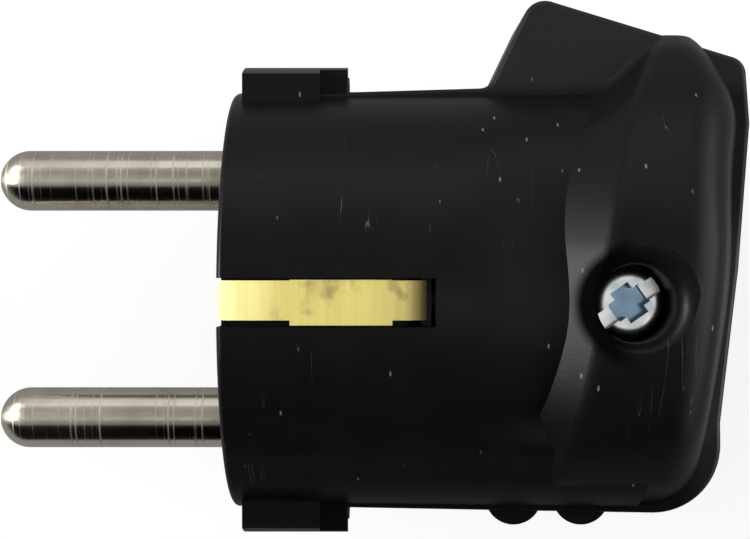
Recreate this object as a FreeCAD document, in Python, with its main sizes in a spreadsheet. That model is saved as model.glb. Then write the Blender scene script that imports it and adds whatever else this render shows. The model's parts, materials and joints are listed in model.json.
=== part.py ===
import FreeCAD, Part
import Sketcher
import math
import os
import re

# Type F mains plug with a side cable neck: two moulded shells, pins, earth bow, fasteners.
# X runs from the engagement face to the rear, Y to the cable neck, Z out of one earth contact.
V = FreeCAD.Vector
doc = FreeCAD.newDocument("side_entry_plug")
sheet = doc.addObject("Spreadsheet::Sheet", "Sizes")

SIZES = [
    ("pin_radius", 2.4, "pin radius outside the face"),
    ("pin_reach", 19.0, "pin length in front of the face"),
    ("pin_offset", 9.5, "pin axis from the plug axis"),
    ("shank_radius", 2.7, "pin shoulder radius in the front wall and behind the collar"),
    ("collar_radius", 3.3, "pin collar and terminal head radius"),
    ("collar_depth", 2.0, "pin collar along X"),
    ("neck_depth", 2.0, "pin neck behind the collar along X"),
    ("head_depth", 9.0, "pin terminal head along X"),
    ("wire_radius", 1.6, "wire hole in the terminal head"),
    ("wire_depth", 7.0, "wire hole depth"),
    ("seat_gap", 0.05, "clearance between seated pieces"),
    ("saddle_margin", 0.4, "pin saddle beyond the collar on each side"),
    ("saddle_height", 12.0, "pin saddle from the parting plane"),
    ("past", 5.0, "how far a cutting block runs past the part"),
    ("above", 25.0, "height above every piece"),
    ("face_wall", 3.0, "front wall thickness"),
    ("wall", 2.0, "shell wall thickness"),
    ("barrel_front", 16.4, "barrel radius at the face"),
    ("barrel_rear", 16.75, "barrel radius at its rear end"),
    ("barrel_depth", 31.0, "barrel length"),
    ("rim_round", 0.5, "rounding of the face rim"),
    ("rim_lift", 0.02, "how far the rounding ends outside the drafted barrel"),
    ("waist_start", 15.5, "where the finger waist begins"),
    ("waist_x", 26.5, "deepest section of the finger waist"),
    ("waist_end", 33.0, "end of the waist core inside the hump"),
    ("waist_z", 15.1, "half height of the waist section"),
    ("waist_fall", 1.5, "shrinking of the waist core inside the hump"),
    ("bank_foot", 8.6, "foot of the bank on the plain side of the waist, from the axis"),
    ("bank_head", 10.8, "head of that bank, from the axis"),
    ("fade_start", 6.0, "where the waist begins to fade toward the neck side, from the axis"),
    ("fade_end", 16.0, "where the waist has faded out, from the axis"),
    ("crest_round_left", 1.8, "rounding of the hump crest toward the face"),
    ("crest_round_right", 3.4, "rounding of the hump crest toward the rear"),
    ("slab_half", 5.5, "half thickness of the parting slab and neck"),
    ("slab_round", 0.45, "rounding of the slab edge"),
    ("neck_wall", 1.2, "wall over the neck hollow"),
    ("ear_radius", 18.4, "outer radius of the guide ears"),
    ("ear_front", 0.9, "ear start from the face"),
    ("ear_step", 6.8, "end of the thick part of the ear"),
    ("ear_rear", 8.9, "end of the ear"),
    ("ear_low", 2.9, "half width of the guide groove"),
    ("ear_high", 6.4, "height of the thick part of the ear"),
    ("ear_mid", 4.9, "height of the thin part of the ear"),
    ("rib_radius", 2.2, "radius of the side ribs"),
    ("rib_y", 15.15, "rib centre from the axis"),
    ("rib_first", 21.7, "first rib along X"),
    ("rib_second", 26.9, "second rib along X"),
    ("rib_half", 4.4, "half length of the ribs"),
    ("slot_low", 1.62, "earth slot on the plain side of the axis"),
    ("slot_high", 1.78, "earth slot on the neck side of the axis"),
    ("strip_low", 1.15, "earth strip on the plain side of the axis"),
    ("strip_high", 1.61, "earth strip on the neck side of the axis"),
    ("lug_low", 1.5, "earth strip at its lug on the plain side"),
    ("lug_high", 1.66, "earth strip at its lug on the neck side"),
    ("strip_thick", 0.8, "earth strip thickness"),
    ("strip_top", 16.1, "outer face of the earth strip from the axis"),
    ("strip_rear", 14.6, "rear face of the earth web"),
    ("strip_bend", 1.5, "outer bend radius of the earth strip"),
    ("strip_inner", 0.5, "inner bend radius of the earth strip"),
    ("strip_hook", 12.9, "end of the hook on the face, from the axis"),
    ("slot_rear", 15.2, "rear end of the earth slot"),
    ("lug_front", 5.1, "front end of the strip lugs"),
    ("lug_rear", 12.2, "rear end of the strip lugs"),
    ("web_room_low", 9.0, "lower end of the room for the earth web"),
    ("hook_gap", 0.2, "room below the hook on the face"),
    ("screw_x", 29.15, "housing screw axis along X"),
    ("column_radius", 4.6, "screw column radius"),
    ("recess_radius", 2.75, "screw recess radius"),
    ("recess_floor", 10.6, "screw head seat from the parting plane"),
    ("flare_start", 15.35, "start of the rounded recess rim from the parting plane"),
    ("flare_round", 1.5, "rounding of the recess rim"),
    ("screw_hole", 1.7, "clearance hole of the housing screw"),
    ("screw_radius", 1.5, "housing screw radius"),
    ("screw_head", 2.5, "housing screw head radius"),
    ("screw_head_height", 2.2, "housing screw head height"),
    ("screw_end", 13.4, "housing screw end below the parting plane"),
    ("cap_round", 0.65, "rounding of the housing screw head"),
    ("root_lap", 0.2, "how far a screw shank runs into its head"),
    ("slot_width", 1.25, "driver slot width"),
    ("slot_depth", 0.8, "driver slot depth"),
    ("slot_turn", 35.0, "driver slot direction"),
    ("cross_length", 2.6, "driver cross length"),
    ("cross_width", 1.5, "driver cross width"),
    ("cross_depth", 1.3, "driver cross depth"),
    ("nut_flat", 2.75, "half width over flats of the nut"),
    ("nut_height", 2.4, "nut height"),
    ("neck_turn", 17.0, "turn of the cable axis from Y"),
    ("entry_x", 32.5, "cable axis at the neck end along X"),
    ("entry_y", 20.5, "cable axis at the neck end along Y"),
    ("entry_radius", 4.2, "cable entry radius"),
    ("clamp_back", 9.7, "clamp bar centre from the neck end along the cable axis"),
    ("clamp_room", 0.5, "room round the clamp bar"),
    ("clamp_half", 6.9, "half length of the clamp bar"),
    ("clamp_width", 4.6, "clamp bar width"),
    ("clamp_low", -0.6, "underside of the clamp bar"),
    ("clamp_thick", 2.6, "clamp bar thickness"),
    ("clamp_groove", 5.5, "radius of the hollow under the clamp bar"),
    ("clamp_arch", 1.0, "height of the hollow under the clamp bar"),
    ("clamp_hole_gap", 0.1, "clearance of the clamp screws in the bar"),
    ("clamp_margin", 1.6, "clamp screw from the end of the bar"),
    ("post_radius", 2.0, "clamp post radius"),
    ("post_foot", 12.0, "foot of the clamp posts below the parting plane"),
    ("post_spare", 0.5, "post hole beyond the screw end"),
    ("small_screw", 1.2, "small screw radius"),
    ("small_head", 2.0, "small screw head radius"),
    ("small_head_height", 1.5, "small screw head height"),
    ("small_grip", 5.0, "clamp screw length below the bar"),
    ("small_slot", 0.3, "half width of the small driver slots"),
    ("small_slot_depth", 0.6, "depth of the small driver slots"),
    ("terminal_grip", 2.2, "terminal screw length in the pin"),
    ("terminal_thread", 6.0, "top of the terminal screw hole"),
    ("clamp_x", 12.6, "wire clamp screw along X"),
    ("earth_screw_radius", 1.5, "earth screw radius"),
    ("eye_radius", 3.1, "eye of the earth web round its screw"),
    ("earth_head", 2.8, "earth screw head radius"),
    ("earth_head_depth", 2.0, "earth screw head along X"),
    ("earth_grip", 3.5, "earth screw length past the washer"),
    ("earth_slot", 0.4, "half width of the earth screw slot"),
    ("washer_half", 3.2, "half width of the square washer"),
    ("washer_thick", 0.8, "square washer thickness"),
]

# Hump sections across Y: place, crest height, left foot, left crest, right crest, right foot.
HUMP_BASE = 4.0
HUMP = [
    (-16.0, 5.0, 22.0, 22.8, 31.8, 32.6),
    (-13.2, 10.35, 15.8, 24.2, 33.9, 35.9),
    (-8.0, 15.3, 10.5, 25.5, 34.0, 37.2),
    (-2.0, 16.8, 10.3, 26.6, 34.5, 38.2),
    (5.0, 16.8, 11.2, 27.4, 35.1, 38.75),
    (11.0, 14.1, 15.4, 28.8, 35.9, 38.95),
    (15.5, 10.9, 26.2, 30.4, 36.6, 38.75),
    (18.5, 7.7, 29.6, 31.9, 36.0, 37.2),
    (20.4, 4.9, 32.2, 33.2, 35.0, 35.4),
]
HUMP_WORDS = ("place", "crest", "left_foot", "left_crest", "right_crest", "right_foot")

# Outline of the parting slab with the cable neck, in the XY plane: point and corner rounding.
OUTLINE = [
    (1.2, -15.75, 0.0),
    (20.0, -16.1, 0.0),
    (37.6, -16.4, 5.2),
    (37.5, -9.4, 0.0),
    (38.9, 2.5, 0.0),
    (39.75, 13.6, 0.0),
    (39.4, 18.4, 1.4),
    (23.15, 23.37, 1.7),
    (19.75, 16.3, 1.2),
    (1.2, 15.75, 0.0),
]

table = list(SIZES)
table.append(("hump_base", HUMP_BASE, "lower edge of the hump sections"))
for index, section in enumerate(HUMP):
    for word, value in zip(HUMP_WORDS, section):
        table.append(("%s_of_%d" % (word, index + 1), value, "hump section %d" % (index + 1)))
for index, corner in enumerate(OUTLINE):
    table.append(("edge_x_of_%d" % (index + 1), corner[0], "outline point %d along X" % (index + 1)))
    table.append(("edge_y_of_%d" % (index + 1), corner[1], "outline point %d along Y" % (index + 1)))

S = {}
for row, (alias, value, note) in enumerate(table):
    sheet.set("A%d" % (row + 1), note)
    sheet.set("B%d" % (row + 1), str(value))
    sheet.setAlias("B%d" % (row + 1), alias)
    S[alias] = value
doc.recompute()

ALONG_X = FreeCAD.Rotation(V(1, 1, 1), 120)
UPRIGHT = FreeCAD.Rotation(V(1, 0, 0), 90)
PLAIN = FreeCAD.Rotation()


def words(text):
    """Expression text with every size name pointing at the sheet."""

    def point(match):
        word = match.group(0)
        return "Sizes." + word if word in S else word

    return re.sub(r"[a-z][a-z_0-9]*", point, str(text))


def number(text):
    """Value of an expression made of size names."""
    total = 0.0
    for sign, factor in re.findall(r"([+-]?)([^+-]+)", str(text).replace(" ", "")):
        value = 1.0
        for term in factor.split("*"):
            value *= S[term] if term in S else float(term)
        total += -value if sign == "-" else value
    return total


def bind(thing, **sizes):
    for name, text in sizes.items():
        thing.setExpression(name, words(text))
    return thing


def place(thing, x="0", y="0", z="0", turn=PLAIN):
    thing.Placement = FreeCAD.Placement(V(number(x), number(y), number(z)), turn)
    for axis, text in (("x", x), ("y", y), ("z", z)):
        thing.setExpression("Placement.Base." + axis, words(text))
    return thing


def box(name, x, y, z):
    """Block between the two limits given for each axis."""
    thing = doc.addObject("Part::Box", name)
    bind(thing, Length="(%s) - (%s)" % (x[1], x[0]))
    bind(thing, Width="(%s) - (%s)" % (y[1], y[0]))
    bind(thing, Height="(%s) - (%s)" % (z[1], z[0]))
    return place(thing, x[0], y[0], z[0])


def rod_x(name, radius, x, y="0", z="0"):
    thing = doc.addObject("Part::Cylinder", name)
    bind(thing, Radius=radius, Height="(%s) - (%s)" % (x[1], x[0]))
    return place(thing, x[0], y, z, ALONG_X)


def rod_z(name, radius, z, x="0", y="0"):
    thing = doc.addObject("Part::Cylinder", name)
    bind(thing, Radius=radius, Height="(%s) - (%s)" % (z[1], z[0]))
    return place(thing, x, y, z[0])


def fuse(name, pieces):
    thing = doc.addObject("Part::MultiFuse", name)
    thing.Shapes = pieces
    thing.Refine = True
    return thing


def common(name, pieces):
    thing = doc.addObject("Part::MultiCommon", name)
    thing.Shapes = pieces
    return thing


def cut(name, base, tools):
    """Base less all the tools."""
    tool = tools[0] if len(tools) == 1 else fuse(name + "_tools", tools)
    thing = doc.addObject("Part::Cut", name)
    thing.Base = base
    thing.Tool = tool
    thing.Refine = True
    return thing


def mirror(name, source):
    thing = doc.addObject("Part::Mirroring", name)
    thing.Source = source
    thing.Normal = V(0, 0, 1)
    return thing


def round_edges(name, base, picks):
    """Rounded copy of base; picks holds (test on the edge, radius)."""
    doc.recompute()
    edges = []
    for index, edge in enumerate(base.Shape.Edges):
        for test, radius in picks:
            if test(edge):
                edges.append((index + 1, radius, radius))
                break
    thing = doc.addObject("Part::Fillet", name)
    thing.Base = base
    thing.Edges = edges
    return thing


def polygon(name, points, turn=PLAIN, x="0", y="0", z="0"):
    """Closed sketch whose corners are set by sizes."""
    sketch = doc.addObject("Sketcher::SketchObject", name)
    place(sketch, x, y, z, turn)
    values = [V(number(px), number(py), 0) for px, py in points]
    count = len(values)
    for index in range(count):
        sketch.addGeometry(Part.LineSegment(values[index], values[(index + 1) % count]))
    for index in range(count):
        sketch.addConstraint(Sketcher.Constraint("Coincident", index, 2, (index + 1) % count, 1))
    for index, (px, py) in enumerate(points):
        corner = values[index]
        for kind, text, value in (("DistanceX", px, corner.x), ("DistanceY", py, corner.y)):
            mark = sketch.addConstraint(Sketcher.Constraint(kind, -1, 1, index, 1, value))
            sketch.setExpression("Constraints[%d]" % mark, words(text))
    return sketch


def extrude(name, sketch, length):
    thing = doc.addObject("Part::Extrusion", name)
    thing.Base = sketch
    thing.DirMode = "Normal"
    thing.Solid = True
    bind(thing, LengthFwd=length)
    return thing


def loft(name, sections):
    thing = doc.addObject("Part::Loft", name)
    thing.Sections = sections
    thing.Solid = True
    thing.Ruled = False
    return thing


def ring(name, x, half_y, half_z):
    """Elliptic section across X, wider along Y."""
    thing = doc.addObject("Part::Ellipse", name)
    bind(thing, MajorRadius=half_y, MinorRadius=half_z)
    return place(thing, x, "0", "0", ALONG_X)


# Barrel: slightly drafted round body with the finger waist pressed into its rear half.
# Its sections stand closer along the waist, and their points closer along the bank.
BARREL_PLACES = ("0", "waist_start - 5", "waist_start", "0.7 * waist_start + 0.3 * waist_x",
                 "0.4 * waist_start + 0.6 * waist_x", "waist_x", "barrel_depth")
BARREL_ANGLES = (-12, 0, 15, 30, 45, 60, 75, 90, 102, 112, 117, 121, 125, 129, 133, 138, 146, 160, 180, 192)


def smooth(value):
    """Smooth step from 0 to 1."""
    share = min(max(value, 0.0), 1.0)
    return share * share * (3.0 - 2.0 * share)


def barrel_section(index, x):
    """Arc across X closed by a chord: a circle, flattened by depth(x) * rise(y) * fade(y)."""
    radius = S["barrel_front"] + (S["barrel_rear"] - S["barrel_front"]) * x / S["barrel_depth"]
    way = (x - S["waist_start"]) / (S["waist_x"] - S["waist_start"])
    depth = (S["barrel_rear"] - S["waist_z"]) * smooth(way)
    points = []
    for turned in BARREL_ANGLES:
        angle = math.radians(turned)
        y = radius * math.cos(angle)
        rise = smooth((y + S["bank_head"]) / (S["bank_head"] - S["bank_foot"]))
        fade = smooth((S["fade_end"] - y) / (S["fade_end"] - S["fade_start"]))
        reach = radius - (depth * rise * fade if math.sin(angle) > 0 else 0.0)
        points.append(V(x, reach * math.cos(angle), reach * math.sin(angle)))
    curve = Part.BSplineCurve()
    curve.interpolate(points)
    thing = doc.addObject("Part::Feature", "barrel_section_%d" % index)
    thing.Shape = Part.Wire([curve.toShape(), Part.makeLine(points[-1], points[0])])
    return thing


barrel_waisted = loft("barrel_waisted", [
    barrel_section(index + 1, number(x)) for index, x in enumerate(BARREL_PLACES)])

# Hump over the rear half, a loft of trapezoid sections across Y.
HUMP_PLACES = range(1, len(HUMP) + 1)


def hump_sections(prefix, inset, drop, base, places):
    made = []
    for i in places:
        left = "left_foot_of_%d + %s" % (i, inset)
        right = "right_foot_of_%d - %s" % (i, inset)
        made.append(polygon("%s_%d" % (prefix, i), [
            (left, base),
            ("left_crest_of_%d + %s" % (i, inset), "crest_of_%d - %s" % (i, drop)),
            ("right_crest_of_%d - %s" % (i, inset), "crest_of_%d - %s" % (i, drop)),
            (right, base),
        ], UPRIGHT, y="place_of_%d" % i))
    return made


hump_sharp = loft("hump_sharp", hump_sections("hump_section", "0", "0", "hump_base", HUMP_PLACES))


def crest_edge(side):
    def test(edge):
        box_of = edge.BoundBox
        middle = edge.valueAt((edge.FirstParameter + edge.LastParameter) / 2)
        long_enough = box_of.YLength > 20 and box_of.ZLength > 5
        divide = (S["left_crest_of_4"] + S["right_crest_of_4"]) / 2
        return long_enough and ((middle.x < divide) == (side == "left"))
    return test


hump = round_edges("hump", hump_sharp, [
    (crest_edge("left"), S["crest_round_left"]), (crest_edge("right"), S["crest_round_right"])])

# Parting slab with the slanted neck.
slab_sketch = polygon("slab_outline", [("edge_x_of_%d" % i, "edge_y_of_%d" % i)
                                       for i in range(1, len(OUTLINE) + 1)])
slab_sharp = extrude("slab_sharp", slab_sketch, "slab_half")


def at_corner(index):
    px, py, radius = OUTLINE[index]

    def test(edge):
        box_of = edge.BoundBox
        return (box_of.ZLength > 1 and box_of.XLength < 0.01 and box_of.YLength < 0.01
                and abs(box_of.Center.x - px) < 0.01 and abs(box_of.Center.y - py) < 0.01)
    return test


slab_cornered = round_edges("slab_cornered", slab_sharp,
                            [(at_corner(i), c[2]) for i, c in enumerate(OUTLINE) if c[2] > 0])


def top_edge(edge):
    box_of = edge.BoundBox
    return box_of.ZLength < 0.01 and box_of.ZMin > S["slab_half"] - 0.01


slab = round_edges("slab", slab_cornered, [(top_edge, S["slab_round"])])

# Guide ears on both sides, thick part and thin rear part.
ear_disc = rod_x("ear_disc", "ear_radius", ("ear_front", "ear_rear"))
ear_span = ("-ear_radius", "ear_radius")
ear_thick = box("ear_thick", ("ear_front", "ear_step"), ear_span, ("ear_low", "ear_high"))
ear_thin = box("ear_thin", ("ear_front", "ear_rear"), ear_span, ("ear_low", "ear_mid"))
ears = common("ears", [ear_disc, fuse("ear_blocks", [ear_thick, ear_thin])])

ribs = [rod_z("rib_%s" % word, "rib_radius", ("0", "rib_half"), "rib_%s" % word, "-rib_y")
        for word in ("first", "second")]

outer_whole = fuse("outer_whole", [barrel_waisted, hump, slab, ears] + ribs)
upper_half = box("upper_half", ("-past", "3 * above"), ("-2 * above", "2 * above"), ("0", "2 * above"))
outer = common("outer", [outer_whole, upper_half])

# Hollow of one shell.
hollow_barrel = loft("hollow_barrel", [
    ring("hollow_a", "face_wall", "barrel_front - wall", "barrel_front - wall"),
    ring("hollow_b", "waist_start", "barrel_front - wall", "barrel_front - wall"),
    ring("hollow_c", "waist_x", "barrel_front - wall", "waist_z - wall"),
    ring("hollow_d", "waist_end", "barrel_front - wall - waist_fall", "waist_z - wall - waist_fall"),
])
hollow_hump = loft("hollow_hump", hump_sections("hollow_section", "1.2 * wall", "wall", "-past", range(2, 8)))
turn = math.radians(S["neck_turn"])
along = V(math.sin(turn), math.cos(turn), 0)
across = V(math.cos(turn), -math.sin(turn), 0)
bar_turn = FreeCAD.Rotation(V(0, 0, 1), -S["neck_turn"])
clamp_at = V(S["entry_x"], S["entry_y"], 0) - along * S["clamp_back"]
hollow_neck = doc.addObject("Part::Box", "hollow_neck")
bind(hollow_neck, Length="2 * clamp_half + 2 * clamp_room", Width="clamp_width + 2 * clamp_room")
bind(hollow_neck, Height="slab_half - neck_wall + past")
hollow_neck.Placement = FreeCAD.Placement(
    clamp_at - across * (S["clamp_half"] + S["clamp_room"]) - along * (S["clamp_width"] / 2 + S["clamp_room"])
    - V(0, 0, S["past"]), bar_turn)
bore = doc.addObject("Part::Cylinder", "entry_bore")
bind(bore, Radius="entry_radius", Height="2 * clamp_back")
bore.Placement = FreeCAD.Placement(clamp_at, FreeCAD.Rotation(V(0, 0, 1), along))
hollow = fuse("hollow", [hollow_barrel, hollow_hump, hollow_neck])
walled = cut("walled", outer, [hollow])

# Inner saddles that hold the pins by the neck, and the screw column.
pin_names = (("live", "pin_offset"), ("neutral", "-pin_offset"))
collar_start = "face_wall + seat_gap"
neck_start = "face_wall + 2 * seat_gap + collar_depth"
neck_end = "face_wall + 2 * seat_gap + collar_depth + neck_depth"
saddles = [box("saddle_%s" % word,
               (neck_start, "face_wall + collar_depth + neck_depth"),
               ("%s - collar_radius - saddle_margin" % y, "%s + collar_radius + saddle_margin" % y),
               ("0", "saddle_height"))
           for word, y in pin_names]
column = rod_z("column", "column_radius", ("0", "above"), "screw_x")
inside = common("inside", [fuse("inside_pieces", saddles + [column]), outer])
solid_half = fuse("solid_half", [walled, inside])

# Room for pins, earth strip and the cable, the same in both shells.
room = [bore]
for word, y in pin_names:
    room.append(rod_x("pin_room_%s" % word, "shank_radius + seat_gap", ("-past", neck_end), y))
slot_span = ("-slot_low", "slot_high")
room.append(box("strip_room", ("-past", "slot_rear"), slot_span,
                ("strip_top - strip_thick - seat_gap", "above")))
room.append(box("hook_room", ("-past", "strip_thick + seat_gap"), slot_span,
                ("strip_hook - hook_gap", "above")))
room.append(box("bend_room", ("-past", "strip_thick + strip_inner + seat_gap"), slot_span,
                ("strip_top - strip_thick - strip_inner - seat_gap", "above")))
room.append(box("web_room", ("strip_rear - strip_thick - strip_inner - seat_gap", "slot_rear"), slot_span,
                ("web_room_low", "above")))
room.append(rod_z("screw_room", "screw_hole", ("-past", "above"), "screw_x"))
half_shell = cut("half_shell", solid_half, room)

# Face rim, rounded by a block left hollow for a ring of the rounding's own section.
rim_block = rod_x("rim_block", "barrel_front + past", ("-past", "rim_round"))
rim_core = rod_x("rim_core", "barrel_front - rim_round + rim_lift", ("-past", "rim_round"))
rim_bead = doc.addObject("Part::Torus", "rim_bead")
bind(rim_bead, Radius1="barrel_front - rim_round + rim_lift", Radius2="rim_round")
place(rim_bead, "rim_round", "0", "0", ALONG_X)
rim_tool = cut("rim_tool", rim_block, [rim_core, rim_bead])
half_round = cut("half_round", half_shell, [rim_tool])

# Upper shell: round recess for the screw head, its rim rounded by a ring left out of a wider rod.
head_room = rod_z("head_room", "recess_radius", ("recess_floor", "above"), "screw_x")
rim_rod = rod_z("rim_rod", "recess_radius + flare_round", ("flare_start", "above"), "screw_x")
rim_ring = doc.addObject("Part::Torus", "rim_ring")
bind(rim_ring, Radius1="recess_radius + flare_round", Radius2="flare_round")
place(rim_ring, "screw_x", "0", "flare_start")
flare = cut("head_flare", rim_rod, [rim_ring])
upper_shell = cut("upper_shell", half_round, [head_room, flare])

# Lower shell: hexagon pocket for the nut and two posts for the cable clamp.
lower_plain = mirror("lower_plain", half_round)
nut_room = doc.addObject("Part::Prism", "nut_room")
nut_room.Polygon = 6
bind(nut_room, Circumradius="(nut_flat + seat_gap) / cos(30)", Height="above")
place(nut_room, "screw_x", "0", "-recess_floor - above")
posts = []
post_holes = []
screw_spots = []
for word, side in (("front", -1), ("rear", 1)):
    spot = clamp_at + across * (side * (S["clamp_half"] - S["clamp_margin"]))
    screw_spots.append((word, spot))
    post = doc.addObject("Part::Cylinder", "post_" + word)
    bind(post, Radius="post_radius", Height="clamp_low + post_foot")
    post.Placement = FreeCAD.Placement(V(spot.x, spot.y, -S["post_foot"]), PLAIN)
    posts.append(post)
    hole = doc.addObject("Part::Cylinder", "post_hole_" + word)
    bind(hole, Radius="small_screw + seat_gap", Height="small_grip + post_spare")
    hole_foot = S["clamp_low"] - S["small_grip"] - S["post_spare"]
    hole.Placement = FreeCAD.Placement(V(spot.x, spot.y, hole_foot), PLAIN)
    post_holes.append(hole)
lower_outer = mirror("lower_outer", outer)
lower_posts = common("lower_posts", [fuse("post_pair", posts), lower_outer])
lower_full = fuse("lower_full", [lower_plain, lower_posts])
lower_shell = cut("lower_shell", lower_full, [nut_room, bore] + post_holes)

# Pins with round tip, collar, neck and pillar terminal.
pins = []
for word, y in pin_names:
    tip = doc.addObject("Part::Sphere", "tip_" + word)
    bind(tip, Radius="pin_radius")
    place(tip, "pin_radius - pin_reach", y, "0", ALONG_X)
    stack = [
        tip,
        rod_x("prong_" + word, "pin_radius", ("pin_radius - pin_reach", "0"), y),
        rod_x("shank_" + word, "shank_radius", ("0", neck_end), y),
        rod_x("collar_" + word, "collar_radius", (collar_start, "face_wall + seat_gap + collar_depth"), y),
        rod_x("pillar_" + word, "collar_radius", (neck_end, neck_end + " + head_depth"), y),
    ]
    body = fuse("pin_body_" + word, stack)
    wire_start = neck_end + " + head_depth - wire_depth"
    wire = rod_x("wire_" + word, "wire_radius", (wire_start, neck_end + " + head_depth + past"), y)
    thread = rod_z("thread_" + word, "small_screw + seat_gap", ("0", "terminal_thread"), "clamp_x", y)
    pins.append((word + "_pin", cut(word + "_pin", body, [wire, thread])))


def slotted(name, radius, head, height, grip, width):
    """Cheese-head screw along Z: head above zero, shank below, straight driver slot."""
    shank = doc.addObject("Part::Cylinder", name + "_shank")
    bind(shank, Radius=radius, Height="%s + root_lap" % grip)
    place(shank, "0", "0", "-%s" % grip.replace("+", "-"))
    cap = doc.addObject("Part::Cylinder", name + "_cap")
    bind(cap, Radius=head, Height=height)
    body = fuse(name + "_body", [shank, cap])
    driver = box(name + "_driver", ("-%s - past" % head, "%s + past" % head), ("-%s" % width, width),
                 ("%s - small_slot_depth" % height, "%s + past" % height))
    return cut(name, body, [driver])


def put(thing, base, turn=PLAIN):
    thing.Placement = FreeCAD.Placement(base, turn)
    return thing


screws = []
for word, y in pin_names:
    screw = slotted(word + "_terminal_screw", "small_screw", "small_head", "small_head_height",
                    "terminal_grip", "small_slot")
    screws.append((word + "_terminal_screw", put(screw, V(S["clamp_x"], number(y), S["collar_radius"]))))
for word, spot in screw_spots:
    screw = slotted("cable_clamp_screw_" + word, "small_screw", "small_head", "small_head_height",
                    "clamp_thick + small_grip", "small_slot")
    top = S["clamp_low"] + S["clamp_thick"]
    screws.append(("cable_clamp_screw_" + word, put(screw, V(spot.x, spot.y, top))))

# Earth bow: flat strip bent round the face rim on both sides, web between the pins.
bow_block = box("bow_block", ("0", "strip_rear"), ("-strip_low", "strip_high"), ("-strip_top", "strip_top"))
bow_core = box("bow_core", ("strip_thick", "strip_rear - strip_thick"), ("-past", "past"),
               ("-strip_top + strip_thick", "strip_top - strip_thick"))
bow_open = box("bow_open", ("-past", "2 * strip_thick"), ("-past", "past"), ("-strip_hook", "strip_hook"))
bow_sharp = cut("bow_sharp", bow_block, [bow_core, bow_open])


def bend(outside):
    def test(edge):
        box_of = edge.BoundBox
        if box_of.XLength > 0.01 or box_of.ZLength > 0.01:
            return False
        height = abs(box_of.ZMin)
        if outside:
            return abs(height - S["strip_top"]) < 0.01
        return abs(height - S["strip_top"] + S["strip_thick"]) < 0.01
    return test


bow_bent = round_edges("bow_bent", bow_sharp, [
    (bend(True), S["strip_bend"]), (bend(False), S["strip_inner"])])
lugs = []
for word, span in (("up", ("strip_top - strip_thick", "strip_top")),
                   ("down", ("-strip_top", "-strip_top + strip_thick"))):
    lugs.append(box("lug_" + word, ("lug_front", "lug_rear"), ("-lug_low", "lug_high"), span))
bow_eye = rod_x("bow_eye", "eye_radius", ("strip_rear - strip_thick", "strip_rear"))
bow_full = fuse("bow_full", [bow_bent, bow_eye] + lugs)
earth_thread = rod_x("earth_thread", "earth_screw_radius + seat_gap", ("past", "above"))
earth_bow = cut("earth_bow", bow_full, [earth_thread])

washer_plate = box("washer_plate", ("strip_rear", "strip_rear + washer_thick"),
                   ("-washer_half", "washer_half"), ("-washer_half", "washer_half"))
washer_hole = rod_x("washer_hole", "earth_screw_radius + seat_gap", ("past", "above"))
earth_washer = cut("earth_washer", washer_plate, [washer_hole])
earth_screw = slotted("earth_screw", "earth_screw_radius", "earth_head", "earth_head_depth",
                      "washer_thick + earth_grip", "earth_slot")
put(earth_screw, V(S["strip_rear"] + S["washer_thick"], 0, 0), FreeCAD.Rotation(V(0, 1, 0), 90))

# Housing screw with a straight slot and a cross, and its nut.
screw_shank = rod_z("screw_shank", "screw_radius", ("-screw_end", "recess_floor + root_lap"), "screw_x")
screw_cap = rod_z("screw_cap", "screw_head",
                  ("recess_floor", "recess_floor + screw_head_height"), "screw_x")
screw_body = fuse("screw_body", [screw_shank, screw_cap])


def cap_rim(edge):
    return edge.BoundBox.ZMin > S["recess_floor"] + S["screw_head_height"] - 0.01 and edge.Length > 5


screw_smooth = round_edges("screw_smooth", screw_body, [(cap_rim, S["cap_round"])])
head_top = S["recess_floor"] + S["screw_head_height"]
drivers = []
for name, length, width, depth, angle in (
        ("driver_slot", "2 * screw_head + past", "slot_width", "slot_depth", 0.0),
        ("driver_cross_a", "cross_length", "cross_width", "cross_depth", 0.0),
        ("driver_cross_b", "cross_length", "cross_width", "cross_depth", 90.0)):
    tool = doc.addObject("Part::Box", name)
    bind(tool, Length=length, Width=width, Height=depth + " + past")
    spin = FreeCAD.Rotation(V(0, 0, 1), S["slot_turn"] + angle)
    corner = V(-number(length) / 2, -number(width) / 2, 0)
    floor = V(S["screw_x"], 0, head_top - number(depth))
    tool.Placement = FreeCAD.Placement(floor + spin.multVec(corner), spin)
    drivers.append(tool)
housing_screw = cut("housing_screw", screw_smooth, drivers)
nut_block = doc.addObject("Part::Prism", "nut_block")
nut_block.Polygon = 6
bind(nut_block, Circumradius="nut_flat / cos(30)", Height="nut_height")
place(nut_block, "screw_x", "0", "-recess_floor - nut_height")
nut_thread = rod_z("nut_thread", "screw_radius + seat_gap", ("-above", "0"), "screw_x")
housing_nut = cut("housing_nut", nut_block, [nut_thread])

# Clamp bar across the cable, hollowed underneath.
bar_block = doc.addObject("Part::Box", "bar_block")
bind(bar_block, Length="2 * clamp_half", Width="clamp_width", Height="clamp_thick")
bar_corner = clamp_at - across * S["clamp_half"] - along * (S["clamp_width"] / 2)
put(bar_block, bar_corner + V(0, 0, S["clamp_low"]), bar_turn)
bar_hollow = doc.addObject("Part::Cylinder", "bar_hollow")
bind(bar_hollow, Radius="clamp_groove", Height="2 * past")
put(bar_hollow, clamp_at - along * S["past"] + V(0, 0, S["clamp_low"] + S["clamp_arch"] - S["clamp_groove"]),
    FreeCAD.Rotation(V(0, 0, 1), along))
bar_holes = []
for word, spot in screw_spots:
    hole = doc.addObject("Part::Cylinder", "bar_hole_" + word)
    bind(hole, Radius="small_screw + clamp_hole_gap", Height="2 * past")
    put(hole, V(spot.x, spot.y, -S["past"]))
    bar_holes.append(hole)
cable_clamp = cut("cable_clamp", bar_block, [bar_hollow] + bar_holes)

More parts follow.
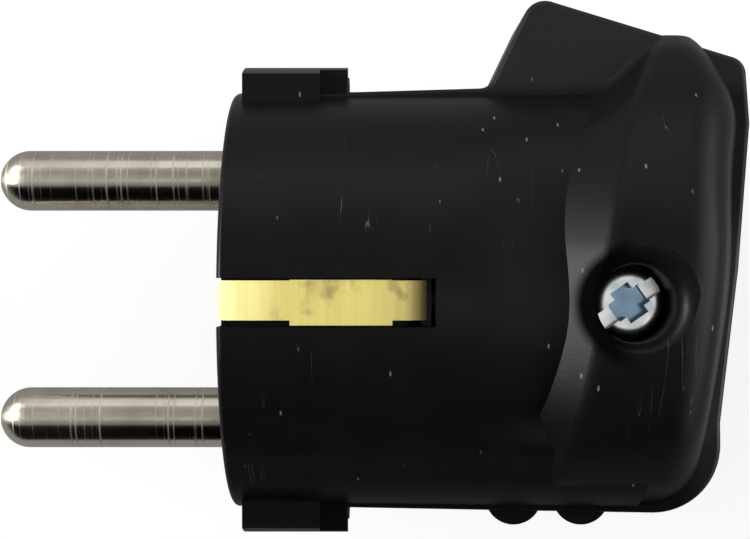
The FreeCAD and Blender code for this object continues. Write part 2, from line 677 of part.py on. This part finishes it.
NODES = [
    ("upper_shell", upper_shell),
    ("lower_shell", lower_shell),
    ("earth_bow", earth_bow),
    ("earth_screw", earth_screw),
    ("earth_washer", earth_washer),
    ("housing_screw", housing_screw),
    ("housing_nut", housing_nut),
    ("cable_clamp", cable_clamp),
] + pins + screws

doc.recompute()
for thing in doc.Objects:
    if "Invalid" in thing.State or "Error" in thing.State:
        raise RuntimeError("object %s is in state %s" % (thing.Name, thing.State))
os.makedirs("parts", exist_ok=True)
for name, thing in NODES:
    thing.Label = name
    shape = thing.Shape
    if shape.isNull() or not shape.isValid():
        raise RuntimeError("shape of %s is not valid" % name)
    shape.exportStep("parts/%s.step" % name)
    print("%s %d %.1f" % (name, len(shape.Solids), shape.Volume))
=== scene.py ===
import json
import math

import bpy
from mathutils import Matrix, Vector


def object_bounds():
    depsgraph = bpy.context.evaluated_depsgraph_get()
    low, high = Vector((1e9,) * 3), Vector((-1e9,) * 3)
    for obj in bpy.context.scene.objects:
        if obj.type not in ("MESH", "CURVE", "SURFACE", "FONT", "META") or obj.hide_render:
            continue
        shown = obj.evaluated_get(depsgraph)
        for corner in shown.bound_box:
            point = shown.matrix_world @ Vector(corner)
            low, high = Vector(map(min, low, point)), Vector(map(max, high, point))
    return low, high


# A black two-shell mains plug lying on a white table, seen straight from above.
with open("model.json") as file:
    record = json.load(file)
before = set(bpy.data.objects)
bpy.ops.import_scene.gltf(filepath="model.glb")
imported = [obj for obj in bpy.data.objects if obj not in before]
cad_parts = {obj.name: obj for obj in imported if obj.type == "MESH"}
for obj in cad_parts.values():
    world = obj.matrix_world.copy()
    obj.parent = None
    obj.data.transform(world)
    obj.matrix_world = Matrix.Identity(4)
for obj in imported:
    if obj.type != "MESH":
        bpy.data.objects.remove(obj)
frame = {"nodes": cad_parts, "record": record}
cad_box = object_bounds()
nodes = frame["nodes"]
scene = bpy.context.scene
MM = 0.001

# The camera looks straight down from above the parting plane.
IMAGE_WIDTH_PX = 750.0
FOCAL_LENGTH_PX = 1418.0
SENSOR_WIDTH = 36.0
CAMERA_PLACE = (11.0 * MM, 2.37 * MM, 114.0 * MM)
CAMERA_NEAR = 5.0 * MM

TABLE_HEIGHT = cad_box[0][2]
TABLE_HALF = 0.9
TABLE_GLOW = 0.78            # added to the lit table for the camera, so that it shows as white
TABLE_GLOW_MIRRORED = 0.1    # share of that glow which metal and plastic mirror

# Zones of the pieces: where each one starts, and where it is full.
NECK_ALONG = (17.0 * MM, 19.0 * MM)
NECK_ACROSS = (15.5 * MM, 17.0 * MM)
NECK_BELOW = (7.5 * MM, 5.5 * MM)
RECESS_AXIS = (29.15 * MM, 0.0, 0.0)
# Painted shade: darker colour and no gloss around the front rim of the screw recess, fading out at
# these radii and toward the rear of the recess.
RECESS_RIM_SHADE = (3.8 * MM, 4.7 * MM)
RECESS_SHADE_REAR = (27.3 * MM, 29.3 * MM)
# Painted shade: from -9 mm to -13 mm in Y the shell loses most of its gloss, so the -Y side mirrors
# less light.
SHADED_SIDE = (-9.0 * MM, -13.0 * MM)
# Painted highlight: extra gloss along the rear edge of the shell.
REAR_HIGHLIGHT_ALONG = (34.0 * MM, 36.5 * MM)
REAR_HIGHLIGHT_ACROSS = (8.0 * MM, 2.0 * MM)
# Painted shade: the strip turns darker toward its rear end, where it bends into the slot.
STRIP_REAR_SHADE = (10.0 * MM, 14.5 * MM)
# Painted highlight: the strip turns light toward its front end, where it bends over the rim.
STRIP_FRONT_HIGHLIGHT = (5.0 * MM, 2.0 * MM)
DRIVER_RECESS = (11.9 * MM, 11.7 * MM)

# Gloss of the shell: as moulded, lowered on the -Y side as painted shade, and added at the rear
# edge as a painted highlight.
GLOSS_MOULDED = 0.13
GLOSS_SHADED_SIDE = 0.02
GLOSS_REAR_HIGHLIGHT = 0.16

# Lamps: name, place, the point it faces, width and height, radiance.
LAMPS = (
    ("window_left", (-0.42, 0.04, 0.17), (0.0, 0.0, 0.0), (0.20, 0.16), 20.0),
    ("window_far_left", (-0.36, 0.26, 0.18), (0.025, 0.0, 0.0), (0.20, 0.16), 5.0),
    ("ceiling", (0.135, -0.015, 0.60), (0.029, 0.0, 0.013), (0.12, 0.12), 2.8),
    ("window_back", (0.05, 0.50, 0.25), (0.0, 0.0, 0.0), (0.30, 0.30), 1.0),
)

# Light of the room by direction.
ROOM_BACK = 0.24
ROOM_RIGHT = 1.60
ROOM_LEFT = 0.40
ROOM_ALL_ROUND = 0.16
ROOM_RIGHT_HORIZON = 2.0
DARK_WEDGE = (-0.26, -0.17)  # y / (1 + z) below which the room in front of the plug is dark

EVEN = (1, 1, 1)
LEVEL = (0.0, 0.0, 0.0)


def colour(red, green, blue):
    return (red, green, blue, 1.0)


def material(name, **sockets):
    """New node material; the keywords set sockets of its shader."""
    made = bpy.data.materials.new(name)
    made.use_nodes = True
    shader = made.node_tree.nodes["Principled BSDF"]
    for socket, value in sockets.items():
        shader.inputs[socket.replace("_", " ")].default_value = value
    return made, made.node_tree, shader


def join(tree, value, socket):
    """Links an output to a socket, or sets the socket to a plain value."""
    if isinstance(value, bpy.types.NodeSocket):
        tree.links.new(value, socket)
    else:
        socket.default_value = value


def node(tree, kind, inputs=None, **settings):
    """New node with its settings and plain or linked inputs."""
    made = tree.nodes.new(kind)
    for name, value in settings.items():
        setattr(made, name, value)
    for name, value in (inputs or {}).items():
        join(tree, value, made.inputs[name])
    return made


def stretched(tree, scale=EVEN, turn=LEVEL):
    """Object coordinates, turned and then stretched."""
    place = node(tree, "ShaderNodeTexCoord")
    return node(tree, "ShaderNodeMapping",
                {"Vector": place.outputs["Object"], "Scale": scale, "Rotation": turn}).outputs[0]


def place_on_part(tree):
    """X, Y and Z of the object coordinates."""
    return node(tree, "ShaderNodeSeparateXYZ", {0: stretched(tree)}).outputs


def noise(tree, scale, detail=2.0, stretch=EVEN, turn=LEVEL):
    """Value of a noise in stretched object coordinates."""
    where = stretched(tree, stretch, turn)
    made = node(tree, "ShaderNodeTexNoise", {"Vector": where, "Scale": scale, "Detail": detail})
    return made.outputs[0]


def ramp(tree, value, low, high):
    """Smooth step from 0 at low to 1 at high."""
    made = node(tree, "ShaderNodeMapRange", {"Value": value, "From Min": low, "From Max": high},
                interpolation_type="SMOOTHSTEP")
    return made.outputs[0]


def spread(tree, value, at_zero, at_one):
    """Even change from at_zero to at_one while the value goes from 0 to 1."""
    made = node(tree, "ShaderNodeMapRange", {"Value": value, "To Min": at_zero, "To Max": at_one})
    return made.outputs[0]


def mathnode(tree, operation, first, second):
    return node(tree, "ShaderNodeMath", {0: first, 1: second}, operation=operation).outputs[0]


def times(tree, first, second):
    return mathnode(tree, "MULTIPLY", first, second)


def plus(tree, first, second):
    return mathnode(tree, "ADD", first, second)


def larger(tree, first, second):
    return mathnode(tree, "MAXIMUM", first, second)


def mixed(tree, factor, first, second):
    """Colour that goes from first to second as the factor goes from 0 to 1."""
    made = node(tree, "ShaderNodeMix", data_type="RGBA")
    tree.links.new(factor, made.inputs["Factor"])
    join(tree, first, made.inputs[6])
    join(tree, second, made.inputs[7])
    return made.outputs[2]


def embossed(tree, shader, height, strength, depth):
    """Fine relief of the surface."""
    bump = node(tree, "ShaderNodeBump", {"Strength": strength, "Distance": depth, "Height": height})
    tree.links.new(bump.outputs[0], shader.inputs["Normal"])


def drawn_round(tree, shader, axis):
    """Turns the direction of the gloss around an axis of the part."""
    around = node(tree, "ShaderNodeTangent", direction_type="RADIAL", axis=axis)
    tree.links.new(around.outputs[0], shader.inputs["Tangent"])


def dust_and_scratches(tree):
    """Short specks in some cells, and hairlines where a coarse noise lets them show."""
    cells = node(tree, "ShaderNodeTexVoronoi",
                 {"Vector": stretched(tree, (1, 0.4, 0.4)), "Scale": 900.0})
    kind = node(tree, "ShaderNodeSeparateColor", {0: cells.outputs["Color"]})
    speck = times(tree, ramp(tree, cells.outputs["Distance"], 0.10, 0.04),
                  ramp(tree, kind.outputs[0], 0.66, 0.80))
    hair = noise(tree, 1.0, stretch=(900, 60, 60), turn=(0, 0, 0.25))
    off_line = mathnode(tree, "ABSOLUTE", mathnode(tree, "SUBTRACT", hair, 0.5), 0.0)
    patch = noise(tree, 190.0, turn=(0.4, 0.2, 0))
    scratch = times(tree, ramp(tree, off_line, 0.006, 0.0), ramp(tree, patch, 0.62, 0.70))
    return larger(tree, speck, times(tree, scratch, 0.5))


def shell_plastic():
    """Satin black moulding with cloudy gloss, dust and scratches, painted shade and a painted
    highlight.

    The neck carries a film of dust. Painted shade darkens and dulls the front rim of the screw
    recess and dulls the -Y side, and a painted highlight adds gloss at the rear edge.
    """
    made, tree, shader = material("shell_plastic", IOR=1.5)
    place = place_on_part(tree)
    cloud = noise(tree, 260.0, 4.0)

    neck = times(tree, ramp(tree, place["Y"], *NECK_ACROSS), ramp(tree, place["Z"], *NECK_BELOW))
    neck = times(tree, neck, ramp(tree, place["X"], *NECK_ALONG))
    # Painted shade: the front rim of the screw recess gets a darker colour and no gloss.
    from_axis = node(tree, "ShaderNodeVectorMath",
                     {0: stretched(tree, (1, 1, 0)), 1: RECESS_AXIS}, operation="DISTANCE")
    outside_rim_shade = larger(tree, ramp(tree, from_axis.outputs["Value"], *RECESS_RIM_SHADE),
                     ramp(tree, place["X"], *RECESS_SHADE_REAR))
    # Painted highlight: extra gloss along the rear edge of the shell.
    rear_highlight = times(tree, ramp(tree, place["X"], *REAR_HIGHLIGHT_ALONG),
                   ramp(tree, place["Y"], *REAR_HIGHLIGHT_ACROSS))

    # Painted shade: less gloss on the -Y side of the shell.
    gloss = spread(tree, ramp(tree, place["Y"], *SHADED_SIDE), GLOSS_MOULDED, GLOSS_SHADED_SIDE)
    gloss = times(tree, outside_rim_shade, plus(tree, gloss, times(tree, rear_highlight, GLOSS_REAR_HIGHLIGHT)))
    tree.links.new(gloss, shader.inputs["Specular IOR Level"])

    tint = mixed(tree, cloud, colour(0.0045, 0.0045, 0.0053), colour(0.0072, 0.0072, 0.0080))
    tint = mixed(tree, neck, tint, colour(0.019, 0.019, 0.018))
    # Painted shade: darker colour on the front rim of the screw recess.
    tint = mixed(tree, outside_rim_shade, colour(0.0025, 0.0025, 0.0030), tint)
    tint = mixed(tree, dust_and_scratches(tree), tint, colour(0.16, 0.165, 0.175))
    tree.links.new(tint, shader.inputs["Base Color"])
    tree.links.new(spread(tree, cloud, 0.29, 0.40), shader.inputs["Roughness"])
    embossed(tree, shader, noise(tree, 5200.0), 0.10, 0.08 * MM)
    return made


def turned_nickel():
    """Nickel plate over turned brass: gloss drawn along the pin, dull rings cut by the tool."""
    made, tree, shader = material("turned_nickel", Metallic=1.0, Anisotropic_Rotation=0.25)
    drawn_round(tree, shader, "X")
    rings = noise(tree, 1.0, 3.0, stretch=(3600, 30, 30))
    cut = ramp(tree, rings, 0.57, 0.66)
    stain = ramp(tree, noise(tree, 420.0, 5.0), 0.40, 0.66)
    tint = mixed(tree, stain, colour(0.66, 0.615, 0.525), colour(0.57, 0.525, 0.43))
    tree.links.new(tint, shader.inputs["Base Color"])
    tree.links.new(spread(tree, cut, 0.24, 0.50), shader.inputs["Roughness"])
    tree.links.new(spread(tree, cut, 0.9, 0.1), shader.inputs["Anisotropic"])
    embossed(tree, shader, rings, 0.25, 0.02 * MM)
    return made


def brushed_brass():
    """Rolled brass strip: fine marks across it, brownish smudges, a painted highlight at the front
    and painted shade at the rear.
    """
    made, tree, shader = material("brushed_brass", Metallic=1.0, Anisotropic=0.9)
    drawn_round(tree, shader, "Y")
    place = place_on_part(tree)
    brush = noise(tree, 1.0, 3.0, stretch=(6500, 160, 160))
    smudge = ramp(tree, noise(tree, 330.0, 5.0), 0.56, 0.72)
    # Real brownish smudges, plus painted shade that grows toward the rear end of the strip.
    smudge_and_shade = larger(tree, smudge, times(tree, ramp(tree, place["X"], *STRIP_REAR_SHADE), 0.55))
    tint = mixed(tree, smudge_and_shade, colour(0.64, 0.56, 0.195), colour(0.35, 0.265, 0.115))
    # Painted highlight on the front end of the strip.
    tint = mixed(tree, ramp(tree, place["X"], *STRIP_FRONT_HIGHLIGHT), tint, colour(0.80, 0.73, 0.33))
    tree.links.new(tint, shader.inputs["Base Color"])
    tree.links.new(spread(tree, brush, 0.52, 0.72), shader.inputs["Roughness"])
    embossed(tree, shader, brush, 0.3, 0.02 * MM)
    return made


def blue_zinc(name, recess=None):
    """Zinc plate, bluish in patches; a driver recess below the given heights is bluer."""
    made, tree, shader = material(name, Metallic=1.0)
    patch = noise(tree, 700.0, 4.0)
    tint = mixed(tree, ramp(tree, patch, 0.35, 0.65),
                 colour(0.84, 0.86, 0.84), colour(0.72, 0.77, 0.79))
    if recess is not None:
        deep = ramp(tree, place_on_part(tree)["Z"], *recess)
        tint = mixed(tree, deep, tint, colour(0.24, 0.36, 0.48))
    tree.links.new(tint, shader.inputs["Base Color"])
    tree.links.new(spread(tree, patch, 0.28, 0.42), shader.inputs["Roughness"])
    return made


def table_white():
    """White table that shows as white to the camera and keeps a soft shadow."""
    made, tree, shader = material("table_white", Roughness=0.9, Specular_IOR_Level=0.0)
    shader.inputs["Base Color"].default_value = colour(0.26, 0.26, 0.26)
    shader.inputs["Emission Color"].default_value = colour(1.0, 1.0, 1.0)
    path = node(tree, "ShaderNodeLightPath").outputs
    mirrored = larger(tree, path["Is Glossy Ray"], path["Is Transmission Ray"])
    seen = larger(tree, path["Is Camera Ray"], times(tree, mirrored, TABLE_GLOW_MIRRORED))
    tree.links.new(times(tree, seen, TABLE_GLOW), shader.inputs["Emission Strength"])
    return made


def dress():
    """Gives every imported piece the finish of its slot."""
    finishes = {
        "shell_plastic": shell_plastic(),
        "nickel_plate": turned_nickel(),
        "earth_brass": brushed_brass(),
        "zinc_steel": blue_zinc("blue_zinc"),
    }
    finishes["clamp_plastic"] = finishes["shell_plastic"]
    for entry in frame["record"]["subparts"]:
        mesh = nodes[entry["node"]].data
        mesh.materials.clear()
        mesh.materials.append(finishes[entry["material_slot"]])
    recessed = blue_zinc("blue_zinc_recessed", DRIVER_RECESS)
    nodes["housing_screw"].data.materials[0] = recessed


def table():
    """Flat table under the plug."""
    corners = [(TABLE_HALF * x, TABLE_HALF * y, TABLE_HEIGHT)
               for x, y in ((-1, -1), (1, -1), (1, 1), (-1, 1))]
    mesh = bpy.data.meshes.new("table")
    mesh.from_pydata(corners, [], [(0, 1, 2, 3)])
    made = bpy.data.objects.new("table", mesh)
    mesh.materials.append(table_white())
    scene.collection.objects.link(made)


def softbox(name, place, aim, size, radiance):
    """Lamp of the given width and height whose surface shines at the given radiance."""
    lamp = bpy.data.lights.new(name, "AREA")
    lamp.shape = "RECTANGLE"
    lamp.size, lamp.size_y = size
    lamp.energy = radiance * math.pi * size[0] * size[1]
    made = bpy.data.objects.new(name, lamp)
    made.location = place
    toward = Vector(aim) - Vector(place)
    made.rotation_euler = toward.to_track_quat("-Z", "Y").to_euler()
    scene.collection.objects.link(made)


def room():
    """Dim room, lighter toward the sides and the back, and dark in a wedge in front of the plug."""
    made = bpy.data.worlds.new("room")
    made.use_nodes = True
    tree = made.node_tree
    aim = node(tree, "ShaderNodeTexCoord").outputs["Generated"]
    way = node(tree, "ShaderNodeSeparateXYZ", {0: aim}).outputs
    lean = mathnode(tree, "DIVIDE", way["Y"], plus(tree, way["Z"], 1.0))
    back = times(tree, ramp(tree, way["Y"], 0.3, 0.95), ROOM_BACK)
    right = times(tree, ramp(tree, way["X"], 0.3, 0.95), ROOM_RIGHT)
    left = times(tree, ramp(tree, way["X"], 0.0, -0.8), ROOM_LEFT)
    sides = plus(tree, plus(tree, back, right), plus(tree, left, ROOM_ALL_ROUND))
    lit = times(tree, sides, ramp(tree, lean, *DARK_WEDGE))
    horizon = times(tree, ramp(tree, way["X"], 0.55, 0.95), ROOM_RIGHT_HORIZON)
    background = tree.nodes["Background"]
    tree.links.new(plus(tree, lit, horizon), background.inputs["Strength"])
    background.inputs["Color"].default_value = colour(1.0, 0.985, 0.97)
    scene.world = made


def camera_above():
    """Camera that looks straight down on the plug."""
    camera = bpy.data.cameras.new("camera")
    camera.lens = SENSOR_WIDTH * FOCAL_LENGTH_PX / IMAGE_WIDTH_PX
    camera.sensor_width = SENSOR_WIDTH
    camera.sensor_fit = "HORIZONTAL"
    camera.clip_start = CAMERA_NEAR
    made = bpy.data.objects.new("camera", camera)
    made.location = CAMERA_PLACE
    scene.collection.objects.link(made)
    scene.camera = made


dress()
table()
for lamp in LAMPS:
    softbox(*lamp)
room()
camera_above()
scene.view_settings.view_transform = "Standard"
